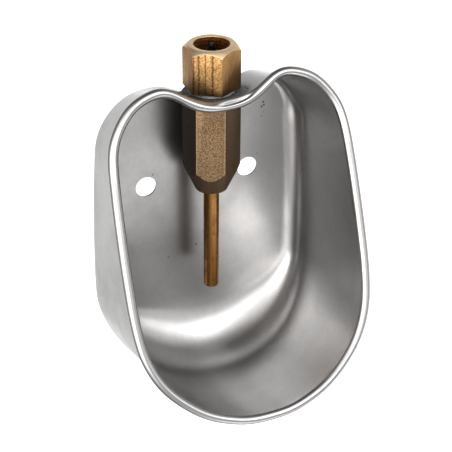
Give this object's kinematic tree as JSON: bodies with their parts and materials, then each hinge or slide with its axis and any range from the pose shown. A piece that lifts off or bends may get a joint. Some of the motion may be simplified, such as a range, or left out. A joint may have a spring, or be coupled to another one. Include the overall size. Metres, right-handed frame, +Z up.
{
  "type": "livestock drinking bowl",
  "caption": "Wall-hung pressed-steel drinking bowl with a rolled rim and a vertical brass push-rod valve: hexagonal inlet socket above the saddle, conical valve body and hanging rod inside.",
  "frame": {"origin": "on the back plate's outer face, midway between the two screw holes", "axes": "+Y points into the wall, +Z up along the valve, +X to the right as one stands in front of the bowl"},
  "size_m": [0.1404, 0.1046, 0.2015],
  "materials": {
    "pressed_stainless": "satin, pressed",
    "spring_steel": "drawn wire",
    "brass": "drawn and sandblasted, slightly tarnished",
    "grey_fibre": "matt",
    "black_rubber": "matt",
    "green_plastic": "moulded, glossy"
  },
  "bodies": {
    "bowl_and_valve": {"bowl_shell": "pressed_stainless", "inlet_socket": "brass", "socket_washer": "grey_fibre", "body_gasket": "black_rubber", "valve_body": "brass", "seat_seal": "black_rubber", "valve_spring": "spring_steel", "spring_retainer": "brass", "inlet_strainer": "green_plastic"},
    "spring_washer": {"spring_washer": "spring_steel"},
    "spring_cup": {"spring_cup": "brass"},
    "push_rod": {"push_rod": "brass"}
  },
  "joints": [
    {"name": "rod_lift", "type": "slide", "parent": "bowl_and_valve", "child": "spring_washer", "axis": [0, 0, 1], "range_m": [0, 0.003], "stiffness_N_per_m": 2500, "springref_m": -0.005, "deforming": ["valve_spring"]},
    {"name": "rod_tilt_fore_aft", "type": "hinge", "parent": "spring_washer", "child": "spring_cup", "pos_m": [0, -0.021, 0.02], "axis": [1, 0, 0], "range_deg": [-4.5, 4.5], "stiffness_Nm_per_rad": 1},
    {"name": "rod_tilt_sideways", "type": "hinge", "parent": "spring_cup", "child": "push_rod", "pos_m": [0, -0.021, 0.02], "axis": [0, 1, 0], "range_deg": [-4.5, 4.5], "stiffness_Nm_per_rad": 1}
  ]
}
